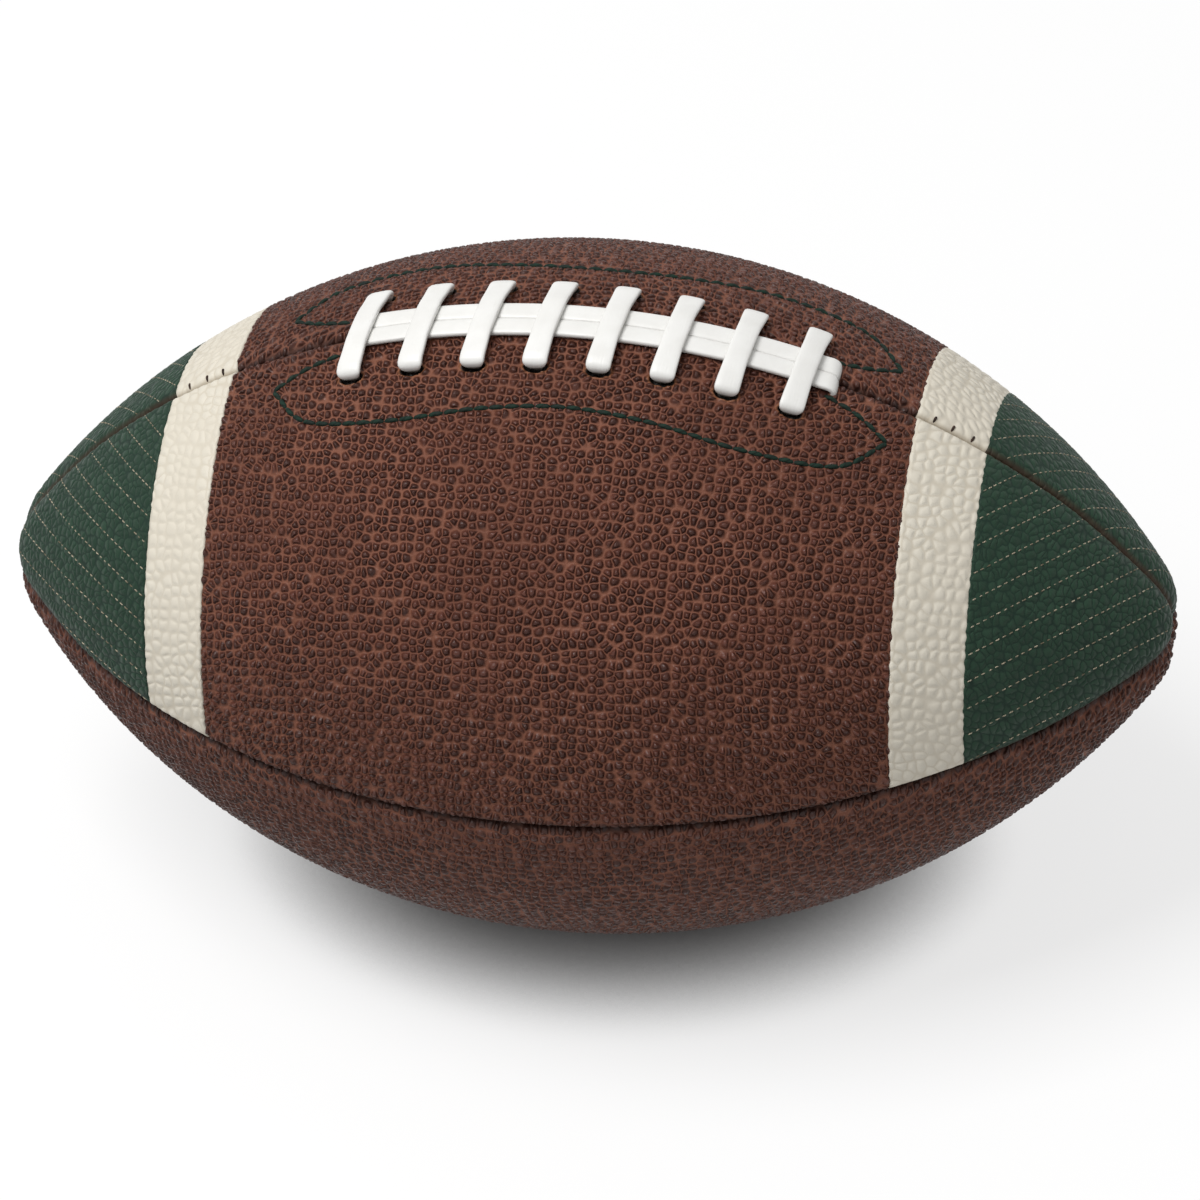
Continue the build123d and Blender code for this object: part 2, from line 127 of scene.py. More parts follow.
# Half of a crossbar's route, from inside its hole to its crown: reach from the slit, and lift off the ball
BAR_ROUTE = (
    (HOLE_REACH - 2.2, -3.6),
    (HOLE_REACH - 0.9, -1.6),
    (HOLE_REACH + 0.1, -0.2),
    (HOLE_REACH + 0.2, LACE_REST + 0.3),
    (HOLE_REACH - 1.5, LACE_REST + 0.9),
    (11.0, LACE_REST + 1.0),
    (8.2, LACE_REST + 1.25),
    (5.6, LACE_CROWN),
    (3.0, LACE_CROWN + 0.1),
)

# Strands along the slit
STRAND_WIDTH = 5.3
STRAND_SPACING = 5.3
STRAND_START = -50.5
STRAND_END = 62.6
STRAND_MARGIN = 5.0
STRAND_STEPS = 40
STRAND_ROUNDS = 3
# Painted shade on a strand's ends as they go down under the leather, by their lift
STRAND_BURIED_SHADE_RAMP = (-0.8, 0.8)

# Routes of a strand's two ends: place along the ball, and lift off it
STRAND_FIRST = (
    (STRAND_START - 0.6, -3.4),
    (STRAND_START - 0.6, LACE_REST - 1.0),
    (STRAND_START + 0.6, LACE_REST),
    (STRAND_START + 2.5, LACE_REST),
)
STRAND_LAST = (
    (STRAND_END - 2.5, LACE_REST),
    (STRAND_END - 0.4, LACE_REST + 0.2),
    (STRAND_END + 0.9, LACE_REST - 0.7),
    (STRAND_END + 1.0, -3.4),
)

# Lace facings: half of the stitched edge, and the curve in from its point, in shares of half length and width
FACING_HALF_LENGTH = 73.5
FACING_WIDTH = 27.5
FACING_SEAM_MARGIN = 5.9
FACING_WAVE = ((0.0, 0.9), (0.28, 0.94), (0.57, 1.0), (0.86, 0.87), (1.0, 0.46))
FACING_CURL = ((1.0, 0.46), (0.9, 0.3))
FACING_CURL_END = 0.79
FACING_WAVE_STEPS = 24
FACING_CURL_STEPS = 16

# Facing stitches and the groove that they lie in
STITCH_PITCH = 3.7
STITCH_LENGTH = 3.9
STITCH_RADIUS = 0.62
STITCH_RISE = 0.62
STITCH_BED = 0.25
GROOVE_DEPTH = 0.4
GROOVE_WIDTH = 0.9
GROOVE_STEP = 1.0
GROOVE_MARGIN = 8.0
GROOVE_SMOOTH_RAMP = (0.2, 1.6)
GROOVE_BATCH = 4000

# Form of every stitch, in shares of its radius and length, and the shift of its twist from the last one's
STITCH_STEPS = 7
STITCH_SIDES = 8
STITCH_SINK = 0.9
STITCH_BOW_POWER = 0.6
STITCH_END_RADIUS = 0.35
STITCH_END_MARGIN = 0.02
STITCH_TAPER_POWER = 0.35
STITCH_GRAIN_SHIFT = 1.7

# Grip stitches: rows where planes a pitch apart cut the patches; a lean is the planes' direction
GRIP_ROWS = 11
GRIP_ROW_PITCH = 5.4
GRIP_FIRST_ROWS = {"front": 27.0, "back": 28.5}
GRIP_LEANS = {"front": (1, -1.05, -1.2), "back": (1, -1.05, -0.5)}
GRIP_PITCH = 1.9
GRIP_LENGTH = 1.55
GRIP_RADIUS = 0.16
GRIP_RISE = 0.28
GRIP_SEAM_MARGIN = 1.0
GRIP_STRIPE_MARGIN = 0.3
GRIP_ROLL_LIMIT = 1.4
GRIP_TURN_STEPS = 700
GRIP_LENGTH_STEPS = 900
GRIP_FEWEST_POINTS = 8
LENGTH_TABLE_STEPS = 4000

# Stitches that show in the upper seam, from inside the seam out onto the back panel
SEAM_STITCH_PLACES = (86.2, 90.4, 95.0)
SEAM_STITCH_RADIUS = 0.38
SEAM_STITCH_RISE = 0.6
SEAM_STITCH_FIRST = 0.4
SEAM_STITCH_LAST = 2.0
SEAM_STITCH_DEPTH = 1.0
SEAM_STITCH_LEAN = 0.3

# Valve
VALVE_AXIS = np.array([0, 1, -1]) / math.sqrt(2)
VALVE_HOLE_RADIUS = 4.25
VALVE_HOLE_DEPTH = 3.0
VALVE_HOLE_WALL = 0.3

# Camera, from matching the photograph's outline, seams and stripes
CAMERA_AZIMUTH = 13.862
CAMERA_ELEVATION = 42.846
CAMERA_ROLL = -5.464
CAMERA_DISTANCE = 1800.0
CAMERA_SIDEWAYS = 1.772
CAMERA_DOWNWARDS = 3.535
CAMERA_LENS = 222.518
CAMERA_FAR = 50000.0

# Light: the level of the surround, which itself looks white, and one lamp with its power in watts
WORLD_LIGHT = 0.45
LAMP_PLACE = (-460.0, -250.0, 1460.0)
LAMP_SIZE = 750.0
LAMP_POWER = 18.5

# Floor: its paper, its share of plain white, and how near the ball has to be for its contact shadow
FLOOR_HALF_SIZE = 4000.0
FLOOR_GAP = 0.35
FLOOR_PAPER = (0.65, 0.65, 0.65, 1)
FLOOR_WHITE = 0.72
CONTACT_REACH = 32.0
CONTACT_RAMP = (0.15, 0.85)
WHITE = (1, 1, 1, 1)

# Noise in every material
NOISE_DETAIL = 3.0
NOISE_ROUGHNESS = 0.55

# What the three leathers share; warp and dome are in sizes of one pebble
WARP_SCALE = 0.8
WARP_DETAIL = 2.0
WARP_MIDDLE = (0.5, 0.5, 0.5)
DOME_RAMP = (0.1, 0.68)
DOME_HEIGHTS = (1.0, 0.25)
RELIEF_LEVEL = 0.55
TOP_MOTTLE_RAMP = (0.35, 0.68)
VALLEY_MOTTLE_RAMP = (0.3, 0.7)
FINE_ROUGHNESS = 0.6
FINE_MIDDLE = 0.5
ROUGH_RAMP = (0.0, 0.25)
ROUGH_SPREAD = 0.16
RIM_COLOUR = (0.22, 0.085, 0.04, 1)
RIM_RAMP = (0.05, 0.4)
# Painted shade: near black inside the lace holes and the valve's hole
HOLE_SHADE_COLOUR = (0.006, 0.004, 0.003, 1)
HOLE_SHADE_COLOUR_RAMP = (0.4, 0.8)

# Leathers: cell and height are millimetres, and the ramps of valley and top are in sizes of one pebble
# seam is painted shade: each leather darkens towards its seam's crease, over seam_ramp in millimetres from
# the seam
LOOKS = {
    "brown": dict(
        slot="cover_leather", lift=0.0,
        cell=2.15, warp=0.5, randomness=0.68, height=0.66, dome=0.28, bump=1.0, fine_height=0.12,
        top_dark=(0.048, 0.0162, 0.011, 1), top_light=(0.112, 0.039, 0.026, 1),
        valley_dark=(0.135, 0.0485, 0.028, 1), valley_light=(0.195, 0.075, 0.045, 1),
        mottle=(0.84, 0.82, 0.81, 1), valley_ramp=(0.015, 0.115), top_ramp=(0.42, 0.68),
        seam=(0.02, 0.008, 0.006, 1), seam_ramp=(0.2, 2.2), seam_strength=0.8,
        mottle_scale=38.0, fine_scale=2600.0, rough_top=0.34, rough_valley=0.7, specular=0.24,
    ),
    "cream": dict(
        slot="stripe_cream", lift=STRIPE_LIFT,
        cell=2.9, warp=0.6, randomness=0.7, height=0.2, dome=0.3, bump=0.5, fine_height=0.1,
        top_dark=(0.68, 0.635, 0.54, 1), top_light=(0.705, 0.66, 0.565, 1),
        valley_dark=(0.61, 0.555, 0.455, 1), valley_light=(0.645, 0.595, 0.5, 1),
        mottle=(0.98, 0.97, 0.96, 1), valley_ramp=(0.0, 0.14), top_ramp=(0.4, 0.75),
        seam=(0.36, 0.3, 0.22, 1), seam_ramp=(0.1, 1.2), seam_strength=0.6,
        mottle_scale=50.0, fine_scale=2200.0, rough_top=0.52, rough_valley=0.65, specular=0.2,
    ),
    "green": dict(
        slot="patch_green", lift=PATCH_LIFT,
        cell=2.1, warp=1.0, randomness=1.0, height=0.18, dome=0.24, bump=0.8, fine_height=0.4,
        top_dark=(0.0125, 0.035, 0.0205, 1), top_light=(0.0195, 0.049, 0.029, 1),
        valley_dark=(0.006, 0.019, 0.012, 1), valley_light=(0.009, 0.026, 0.017, 1),
        mottle=(0.85, 0.86, 0.85, 1), valley_ramp=(0.0, 0.1), top_ramp=(0.5, 0.9),
        # The green's seam is brown: partly the brown leather showing through its worn coat at the folds,
        # partly painted shade
        seam=(0.045, 0.022, 0.013, 1), seam_ramp=(0.2, 2.0), seam_strength=0.75,
        mottle_scale=45.0, fine_scale=1700.0, rough_top=0.48, rough_valley=0.64, specular=0.18,
    ),
}

# White vinyl of the lace
LACE_LOOK = dict(
    stretch=(0.12, 1.0, 1.0), line_scale=2.6, mottle_scale=160.0, ramp=(0.3, 0.7), rough=(0.36, 0.5),
    dark=(0.75, 0.742, 0.715, 1), light=(0.79, 0.784, 0.76, 1),
    # The lace darkens to its dirt colour where it goes down into the holes: painted shade
    dirt=(0.2, 0.16, 0.13, 1), dirt_ramp=(0.35, 1.0), bump=0.35, depth=0.15,
)

# Threads: what they share, and each one's name, colours and twist
THREAD_LOOK = dict(
    scale=420.0, ply_ramp=(0.1, 0.8), patch_ramp=(0.3, 0.65), rough_ramp=(0.2, 0.8), rough=(0.6, 0.8),
    specular=0.2, bump=0.6, depth=0.1,
)
# Each thread's first colour is painted shade in the grooves between its plies, and also its darker random
# patches
THREADS = {
    "tan_thread": ("thread_tan", (0.12, 0.094, 0.058, 1), (0.56, 0.49, 0.37, 1), 5.0),
    "green_thread": ("thread_green", (0.002, 0.008, 0.005, 1), (0.007, 0.025, 0.016, 1), 1.6),
    "dark_thread": ("thread_dark", (0.02, 0.011, 0.008, 1), (0.06, 0.034, 0.024, 1), 3.2),
}

# Rubber, cloth and raw leather: what they share, and each one's name, colours, scale, roughness and depth
PLAIN_LOOK = dict(detail=5.0, ramp=(0.3, 0.7), rough_ramp=(0.2, 0.8), rough_spread=0.06, bump=0.4)
PLAIN_MATERIALS = {
    "rubber": ("rubber_black", (0.012, 0.012, 0.012, 1), (0.026, 0.025, 0.024, 1), 900.0, 0.6, 0.05),
    "bladder": ("rubber_bladder", (0.02, 0.02, 0.02, 1), (0.035, 0.034, 0.034, 1), 300.0, 0.5, 0.05),
    "cloth": ("lining_cloth", (0.42, 0.38, 0.3, 1), (0.6, 0.56, 0.47, 1), 1500.0, 0.9, 0.1),
    "raw_leather": ("raw_leather", (0.3, 0.17, 0.09, 1), (0.45, 0.28, 0.16, 1), 400.0, 0.85, 0.2),
}

# Materials of the CAD nodes that keep their own shape, by the start of their names
CAD_LOOKS = {
    "lining": "cloth",
    "lace_facing": "raw_leather",
    "lace_tongue": "raw_leather",
    "valve_facing": "raw_leather",
    "bladder": "bladder",
    "valve_housing": "rubber",
    "valve_plug": "rubber",
    "seam_thread": "dark_thread",
}


# Form of the ball
def smooth_step(low, high, value):
    """0 below low, 1 above high, and a smooth ramp between."""
    share = np.clip((value - low) / (high - low), 0, 1)
    return share * share * (3 - 2 * share)


def meridian(length):
    """Place along and from the long axis, and slope angle, at arc lengths from the belly."""
    size = np.abs(length)
    on_main = size < JOIN_LENGTH
    angle = np.where(on_main, size / MAIN_RADIUS, JOIN_ANGLE + (size - JOIN_LENGTH) / NOSE_RADIUS)
    along = np.where(on_main, MAIN_RADIUS * np.sin(angle), NOSE_CENTRE + NOSE_RADIUS * np.sin(angle))
    across = np.where(on_main, MAIN_CENTRE + MAIN_RADIUS * np.cos(angle), NOSE_RADIUS * np.cos(angle))
    return np.sign(length) * along, across, np.sign(length) * angle


def arc_length(along):
    """Arc length from the belly at a place along the long axis, on the main arc."""
    return MAIN_RADIUS * np.arcsin(np.asarray(along) / MAIN_RADIUS)


def on_ball(length, turn, lift=0.0):
    """Points and outward normals at arc lengths and at angles from the lacing towards the front."""
    along, across, angle = meridian(length)
    normal = np.stack([np.sin(angle), -np.cos(angle) * np.sin(turn), np.cos(angle) * np.cos(turn)], -1)
    point = np.stack([along + 0 * turn, -across * np.sin(turn), across * np.cos(turn)], -1)
    return point + normal * np.asarray(lift)[..., None], normal


def over_plan(along, sideways):
    """Points and normals of the upper surface over places in plan; sideways is towards the back."""
    length = arc_length(along)
    radius = meridian(length)[1]
    return on_ball(length, -np.arcsin(np.asarray(sideways) / radius))


# Lines and meshes
def spline_through(points, steps):
    """A smooth line through points, as a Catmull-Rom curve."""
    points = np.asarray(points, float)
    ends = np.vstack([2 * points[0] - points[1], points, 2 * points[-1] - points[-2]])
    share = np.linspace(0, 1, steps, endpoint=False)[:, None]
    line = []
    for a, b, c, d in zip(ends[:-3], ends[1:-2], ends[2:-1], ends[3:]):
        line.append(0.5 * (2 * b + (c - a) * share + (2 * a - 5 * b + 4 * c - d) * share**2
                           + (3 * b - a - 3 * c + d) * share**3))
    return np.vstack([*line, points[-1:]])


def chaikin(points, rounds):
    """Cut the corners of a line of points again and again, a quarter from each, keeping its ends."""
    points = np.asarray(points, float)
    for _ in range(rounds):
        near = 0.75 * points[:-1] + 0.25 * points[1:]
        far = 0.25 * points[:-1] + 0.75 * points[1:]
        points = np.vstack([points[:1], np.stack([near, far], 1).reshape(-1, points.shape[1]), points[-1:]])
    return points


def distances(line):
    """Distance along a line of points at each of them."""
    return np.r_[0, np.cumsum(np.linalg.norm(np.diff(line, axis=0), axis=1))]


def unit(vectors):
    """Vectors of length 1 in the same directions."""
    return vectors / np.linalg.norm(vectors, axis=1)[:, None]


def evenly(line, pitch):
    """Points at even spacing on a line of points, at about the pitch."""
    steps = distances(line)
    count = max(2, round(steps[-1] / pitch) + 1)
    places = np.linspace(0, steps[-1], count)
    return np.stack([np.interp(places, steps, line[:, axis]) for axis in range(line.shape[1])], -1)


def mesh_object(name, points, faces, **attributes):
    """An object from points in millimetres and index faces, with values stored on its points."""
    mesh = bpy.data.meshes.new(name)
    mesh.from_pydata((np.asarray(points).reshape(-1, 3) * MM).tolist(), [], faces)
    for key, values in attributes.items():
        values = np.asarray(values, np.float32)
        kind = "FLOAT" if values.ndim == 1 else "FLOAT_VECTOR"
        layer = mesh.attributes.new(key, kind, "POINT")
        layer.data.foreach_set("value" if kind == "FLOAT" else "vector", values.ravel())
    mesh.validate()
    mesh.shade_smooth()
    piece = bpy.data.objects.new(name, mesh)
    bpy.context.scene.collection.objects.link(piece)
    return piece


def grid_faces(rows, columns, closed=False):
    """Quads of a grid of points, wrapped round in its columns if closed."""
    last = columns if closed else columns - 1
    row = np.arange(rows - 1)[:, None] * columns
    next_row = row + columns
    column = np.arange(last)[None, :]
    beside = (column + 1) % columns
    corners = [row + column, row + beside, next_row + beside, next_row + column]
    return np.stack(corners, -1).reshape(-1, 4).tolist()


def tube_faces(rings, sides):
    """Quads of a tube of rings of points, with a flat cap on each end."""
    first = list(range(sides))
    last = list(range((rings - 1) * sides, rings * sides))
    return grid_faces(rings, sides, closed=True) + [first[::-1], last]


# Nodes that the shaders and the relief share
def wire(tree, kind, inputs=None, **settings):
    """Add a node, set its properties, and link or set its inputs."""
    node = tree.nodes.new(kind)
    for key, value in settings.items():
        setattr(node, key, value)
    for key, value in (inputs or {}).items():
        if isinstance(value, bpy.types.NodeSocket):
            tree.links.new(value, node.inputs[key])
        else:
            node.inputs[key].default_value = value
    return node


def math_node(tree, operation, *values):
    """A Math node's result."""
    return wire(tree, "ShaderNodeMath", dict(enumerate(values)), operation=operation).outputs[0]


def vector_node(tree, operation, first, second):
    """A Vector Math node's result."""
    return wire(tree, "ShaderNodeVectorMath", {0: first, 1: second}, operation=operation).outputs[0]


def scaled(tree, vector, scale):
    """A vector times a number."""
    return wire(tree, "ShaderNodeVectorMath", {0: vector, "Scale": scale}, operation="SCALE").outputs[0]


def ramp(tree, value, low, high, start=0.0, end=1.0):
    """A smooth ramp of a value between two limits."""
    inputs = {"Value": value, "From Min": low, "From Max": high, "To Min": start, "To Max": end}
    return wire(tree, "ShaderNodeMapRange", inputs, interpolation_type="SMOOTHSTEP").outputs["Result"]


def pebbles(tree, grain, look):
    """Distances from a valley and from the pebble's middle, in sizes of one pebble, and its random colour."""
    place = scaled(tree, grain, 1 / look["cell"])
    wander = wire(tree, "ShaderNodeTexNoise", {"Vector": place, "Scale": WARP_SCALE, "Detail": WARP_DETAIL})
    shift = scaled(tree, vector_node(tree, "SUBTRACT", wander.outputs["Color"], WARP_MIDDLE), look["warp"])
    place = vector_node(tree, "ADD", place, shift)
    inputs = {"Vector": place, "Scale": 1.0, "Randomness": look["randomness"]}
    edge = wire(tree, "ShaderNodeTexVoronoi", inputs, feature="DISTANCE_TO_EDGE", voronoi_dimensions="2D")
    cells = wire(tree, "ShaderNodeTexVoronoi", inputs, feature="F1", voronoi_dimensions="2D")
    return edge.outputs["Distance"], cells.outputs["Distance"], cells.outputs["Color"]


def dome(tree, valley, middle, look):
    """Height of a pebble, from 0 in its valley to 1 on its rounded top."""
    flank = ramp(tree, valley, 0.0, look["dome"])
    return math_node(tree, "MULTIPLY", flank, ramp(tree, middle, *DOME_RAMP, *DOME_HEIGHTS))


# Materials
def new_material(name):
    """A material with its node tree and its main shader."""
    material = bpy.data.materials.new(name)
    material.use_nodes = True
    return material, material.node_tree, material.node_tree.nodes["Principled BSDF"]


def attribute(tree, name, output="Fac"):
    """A value stored on the mesh."""
    return wire(tree, "ShaderNodeAttribute", attribute_name=name).outputs[output]


def object_place(tree):
    """The place of a point in its object."""
    return wire(tree, "ShaderNodeTexCoord").outputs["Object"]


def mix(tree, share, first, second, blend="MIX"):
    """A mix of two colours."""
    inputs = {0: share, 6: first, 7: second}
    return wire(tree, "ShaderNodeMix", inputs, data_type="RGBA", blend_type=blend).outputs[2]


def noise(tree, vector, scale, detail=NOISE_DETAIL, roughness=NOISE_ROUGHNESS):
    """A noise value."""
    inputs = {"Vector": vector, "Scale": scale, "Detail": detail, "Roughness": roughness}
    return wire(tree, "ShaderNodeTexNoise", inputs).outputs["Fac"]


def add_bump(tree, shader, height, strength, depth):
    """Let a shader see fine unevenness, of a depth in millimetres."""
    bump = wire(tree, "ShaderNodeBump", {"Height": height, "Strength": strength, "Distance": depth * MM})
    tree.links.new(bump.outputs[0], shader.inputs["Normal"])


def leather_colour(tree, distance, middle, cell_colour, mottle, look):
    """Tops and valleys of the pebbles, raw leather round the holes' rims, and painted shade towards the seams
    and inside the holes.
    """
    tone = wire(tree, "ShaderNodeSeparateColor", {"Color": cell_colour}).outputs[0]
    top = mix(tree, tone, look["top_dark"], look["top_light"])
    top = mix(tree, ramp(tree, mottle, *TOP_MOTTLE_RAMP), top, look["mottle"], "MULTIPLY")
    valley = mix(tree, ramp(tree, mottle, *VALLEY_MOTTLE_RAMP), look["valley_dark"], look["valley_light"])
    on_top = ramp(tree, distance, *look["valley_ramp"])
    on_top = math_node(tree, "MULTIPLY", on_top, ramp(tree, middle, *look["top_ramp"], 1.0, 0.0))
    colour = mix(tree, math_node(tree, "SUBTRACT", 1.0, on_top), top, valley)
    # Painted shade: darker towards each seam's crease
    seam_shade_share = ramp(tree, attribute(tree, "edge"), *look["seam_ramp"], look["seam_strength"], 0.0)
    colour = mix(tree, seam_shade_share, colour, look["seam"])
    hole = attribute(tree, "hole")
    colour = mix(tree, ramp(tree, hole, *RIM_RAMP), colour, RIM_COLOUR)
    # Painted shade inside the holes
    return mix(tree, ramp(tree, hole, *HOLE_SHADE_COLOUR_RAMP), colour, HOLE_SHADE_COLOUR)


def grained_leather(name, look):
    """Embossed leather: the colours of its pebbles, shinier tops, and a fine uneven surface."""
    material, tree, shader = new_material(name)
    distance, middle, cell_colour = pebbles(tree, attribute(tree, "grain", "Vector"), look)
    place = object_place(tree)
    mottle = noise(tree, place, look["mottle_scale"])
    fine = noise(tree, place, look["fine_scale"], roughness=FINE_ROUGHNESS)
    colour = leather_colour(tree, distance, middle, cell_colour, mottle, look)
    tree.links.new(colour, shader.inputs["Base Color"])
    rough = ramp(tree, distance, *ROUGH_RAMP, look["rough_valley"], look["rough_top"])
    uneven = math_node(tree, "MULTIPLY", math_node(tree, "SUBTRACT", fine, FINE_MIDDLE), ROUGH_SPREAD)
    tree.links.new(math_node(tree, "ADD", rough, uneven), shader.inputs["Roughness"])
    shader.inputs["Specular IOR Level"].default_value = look["specular"]
    height = math_node(tree, "MULTIPLY_ADD", fine, look["fine_height"], dome(tree, distance, middle, look))
    add_bump(tree, shader, height, look["bump"], look["height"])
    return material


def lace_material():
    """White vinyl lace: faint lines along it, soft mottling, and painted shade where it goes down into the
    holes.
    """
    look = LACE_LOOK
    material, tree, shader = new_material("lace_vinyl")
    stretched = vector_node(tree, "MULTIPLY", attribute(tree, "grain", "Vector"), look["stretch"])
    lines = noise(tree, stretched, look["line_scale"])
    mottle = noise(tree, object_place(tree), look["mottle_scale"])
    colour = mix(tree, ramp(tree, mottle, *look["ramp"]), look["dark"], look["light"])
    # Painted shade where the lace goes down into the holes
    colour = mix(tree, ramp(tree, attribute(tree, "hole"), *look["dirt_ramp"]), colour, look["dirt"])
    tree.links.new(colour, shader.inputs["Base Color"])
    tree.links.new(ramp(tree, lines, *look["ramp"], *look["rough"]), shader.inputs["Roughness"])
    add_bump(tree, shader, lines, look["bump"], look["depth"])
    return material


def thread_material(name, dark, light, twist):
    """Twisted thread: slanting plies, with painted shade darkening the grooves between them, and random light
    and dark patches along the row.
    """
    look = THREAD_LOOK
    material, tree, shader = new_material(name)
    parts = wire(tree, "ShaderNodeSeparateXYZ", {0: attribute(tree, "grain", "Vector")})
    slant = math_node(tree, "MULTIPLY_ADD", parts.outputs[0], twist, parts.outputs[1])
    ply = math_node(tree, "ABSOLUTE", math_node(tree, "SINE", slant))
    patchy = noise(tree, object_place(tree), look["scale"])
    on_ply = ramp(tree, ply, *look["ply_ramp"])
    # Painted shade between the plies: the thread is light only on the plies' crests, where the random patches
    # allow
    share = math_node(tree, "MULTIPLY", on_ply, ramp(tree, patchy, *look["patch_ramp"]))
    tree.links.new(mix(tree, share, dark, light), shader.inputs["Base Color"])
    tree.links.new(ramp(tree, patchy, *look["rough_ramp"], *look["rough"]), shader.inputs["Roughness"])
    shader.inputs["Specular IOR Level"].default_value = look["specular"]
    add_bump(tree, shader, ply, look["bump"], look["depth"])
    return material


def plain_material(name, dark, light, scale, roughness, depth):
    """A matt material with mottled colour and a fine uneven surface, for rubber, cloth and raw leather."""
    look = PLAIN_LOOK
    material, tree, shader = new_material(name)
    patchy = noise(tree, object_place(tree), scale, look["detail"])
    tree.links.new(mix(tree, ramp(tree, patchy, *look["ramp"]), dark, light), shader.inputs["Base Color"])
    rough = (roughness - look["rough_spread"], roughness + look["rough_spread"])
    tree.links.new(ramp(tree, patchy, *look["rough_ramp"], *rough), shader.inputs["Roughness"])
    add_bump(tree, shader, patchy, look["bump"], depth)
    return material


MATERIALS = {key: grained_leather("leather_" + key, look) for key, look in LOOKS.items()}
MATERIALS["lace"] = lace_material()
MATERIALS.update({key: thread_material(*values) for key, values in THREADS.items()})
MATERIALS.update({key: plain_material(*values) for key, values in PLAIN_MATERIALS.items()})


def finish_piece(piece, material, slot, *nodes):
    """Give a piece its material, let it stand for its nodes, and ride it on the ball; its slot is not used.
    """
    piece.data.materials.clear()
    piece.data.materials.append(MATERIALS[material])
    if nodes:
        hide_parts(*nodes)
    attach(piece, "ball")
    return piece


# Cover
def seam_roll(along, rise):
    """How far a panel rolls down at places along the axis, from their distances to its two seams."""
    growth = smooth_step(TIP_ROLL_START, HALF_LENGTH, np.abs(along))
    width = SEAM_ROLL_WIDTH + (TIP_ROLL_WIDTH - SEAM_ROLL_WIDTH) * growth
    depth = SEAM_ROLL_DEPTH + (TIP_ROLL_DEPTH - SEAM_ROLL_DEPTH) * growth
    near = np.clip(1 - rise / width, 0, 1)
    return depth * (1 - np.sqrt(np.clip(1 - (near**2).sum(0), 0, 1)))


def edge_jag(share, quarter):
    """Small uneven shifts of a painted edge, which follows the grain."""
    phase = QUARTERS[quarter]
    return sum(height * np.sin(angle * share + part * phase) for height, angle, part in EDGE_WAVES)


def bar_places():
    """Arc lengths of the lace holes, slanted apart: 1 for those in the front, -1 for those in the back."""
    places = LACE_SHIFT + (np.arange(BAR_COUNT) - (BAR_COUNT - 1) / 2) * BAR_PITCH
    return {1: arc_length(places - BAR_SLANT), -1: arc_length(places + BAR_SLANT)}


def facing_lines(side):
    """The stitched edge of one lace facing in plan: a wave between two points, and a curve in from each."""
    half, width = FACING_HALF_LENGTH, FACING_WIDTH
    right = [(along * half, across * width) for along, across in FACING_WAVE]
    left = [(-along, across) for along, across in right[:0:-1]]
    lines = [spline_through(left + right, FACING_WAVE_STEPS)]
    for turn in ENDS.values():
        curl = [(turn * along * half, across * width) for along, across in FACING_CURL]
        curl.append((turn * FACING_CURL_END * half, FACING_SEAM_MARGIN))
        lines.append(spline_through(curl, FACING_CURL_STEPS))
    return [np.stack([LACE_SHIFT + line[:, 0], side * line[:, 1]], -1) for line in lines]


def lacing_dents(length, turn, point, side):
    """How far lace holes and stitches press the leather in, the holes' mask, and the share of grain left."""
    radius = meridian(length)[1]
    reach = np.where(turn > math.pi, turn - 2 * math.pi, turn) * radius * side
    sink = np.zeros_like(length)
    hole = np.zeros_like(length)
    for place in bar_places()[side]:
        beyond = reach - HOLE_REACH - HOLE_OUTWARDS
        away = np.hypot((length - place) / HOLE_HALF_WIDTH, beyond / HOLE_HALF_HEIGHT)
        pit = HOLE_DEPTH * (1 - smooth_step(*HOLE_WALL_RAMP, away))
        sink += pit + HOLE_DIMPLE * np.exp(-((away / HOLE_DIMPLE_REACH) ** 2))
        hole = np.maximum(hole, 1 - smooth_step(*HOLE_SHADE_RAMP, away))
    relief = 1 - hole
    near_middle = np.abs(length - LACE_SHIFT) < FACING_HALF_LENGTH + GROOVE_MARGIN
    near = near_middle & (reach < FACING_WIDTH + GROOVE_MARGIN)
    spots = point[near]
    lines = [over_plan(line[:, 0], line[:, 1])[0] for line in facing_lines(-side)]
    line = np.vstack([evenly(part, GROOVE_STEP) for part in lines])
    away = np.empty(len(spots))
    for batch in np.array_split(np.arange(len(spots)), max(1, len(spots) // GROOVE_BATCH)):
        away[batch] = np.linalg.norm(spots[batch][:, None] - line[None], axis=-1).min(1)
    sink[near] += GROOVE_DEPTH * np.exp(-((away / GROOVE_WIDTH) ** 2))
    relief[near] *= smooth_step(*GROOVE_SMOOTH_RAMP, away)
    return sink, hole, relief


def valve_dent(point):
    """The valve's hole in its panel, in the same three parts as the lacing's dents."""
    away = np.linalg.norm(np.cross(point, VALVE_AXIS), axis=-1)
    inner, outer = VALVE_HOLE_RADIUS - VALVE_HOLE_WALL, VALVE_HOLE_RADIUS + VALVE_HOLE_WALL
    bore = (1 - smooth_step(inner, outer, away)) * (point @ VALVE_AXIS > 0)
    return VALVE_HOLE_DEPTH * bore, bore, 1 - bore


def grain_places(length, share, radius, first_turn):
    """Places in the flat grain for a skin's points, a little stretched out towards the seams."""
    half_width = radius * math.pi / 4
    reach = (share - 0.5) * 2 * half_width
    inside = half_width - np.abs(reach)
    squeezed = np.maximum(SEAM_STRETCH_REACH - inside, 0) * (1 - SEAM_STRETCH)
    across = np.sign(reach) * (np.abs(reach) - squeezed)
    return np.stack([length, across, np.full_like(length, first_turn)], -1)


